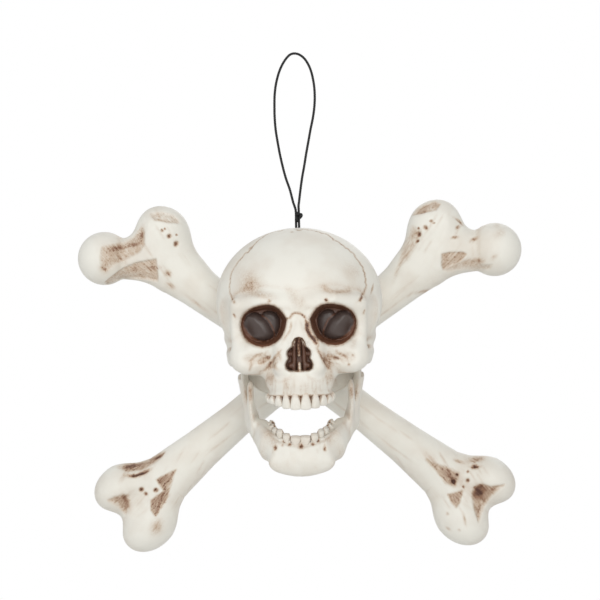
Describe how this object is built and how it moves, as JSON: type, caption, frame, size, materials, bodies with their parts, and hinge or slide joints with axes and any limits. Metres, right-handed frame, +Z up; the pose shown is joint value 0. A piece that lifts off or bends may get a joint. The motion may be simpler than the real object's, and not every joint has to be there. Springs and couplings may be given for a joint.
{
  "type": "hanging skull and crossbones decoration",
  "caption": "Hanging bone-white plastic skull with a hinged open jaw, two crossed bones screwed behind it and a black cord loop with a knot on top.",
  "frame": {"origin": "the inside of the hanging loop's top, where a hook takes it", "axes": "+X to the viewer's right, -Y towards the viewer, +Z up; the decoration hangs below the origin"},
  "size_m": [0.3606, 0.1518, 0.3961],
  "materials": {
    "bone_plastic": "moulded ivory plastic with a brown wash left in its hollows",
    "screw_steel": "zinc-plated steel",
    "black_cord": "black waxed cord"
  },
  "bodies": {
    "skull": {"face_shell": "bone_plastic", "rear_shell": "bone_plastic", "jaw_screw_right": "screw_steel", "jaw_screw_left": "screw_steel", "shell_screw_1": "screw_steel", "shell_screw_2": "screw_steel", "shell_screw_3": "screw_steel", "shell_screw_4": "screw_steel", "bone_front": "bone_plastic", "bone_rear": "bone_plastic", "bone_screw_1": "screw_steel", "bone_screw_2": "screw_steel", "cord_loop": "black_cord", "cord_knot": "black_cord", "cord_strand_right": "black_cord", "cord_strand_left": "black_cord", "cord_stop": "black_cord"},
    "jaw": {"jaw": "bone_plastic"}
  },
  "joints": [
    {"name": "jaw_hinge", "type": "hinge", "parent": "skull", "child": "jaw", "pos_m": [0, -0.004, -0.23828], "axis": [-1, 0, 0], "range_deg": [0, 16]}
  ]
}
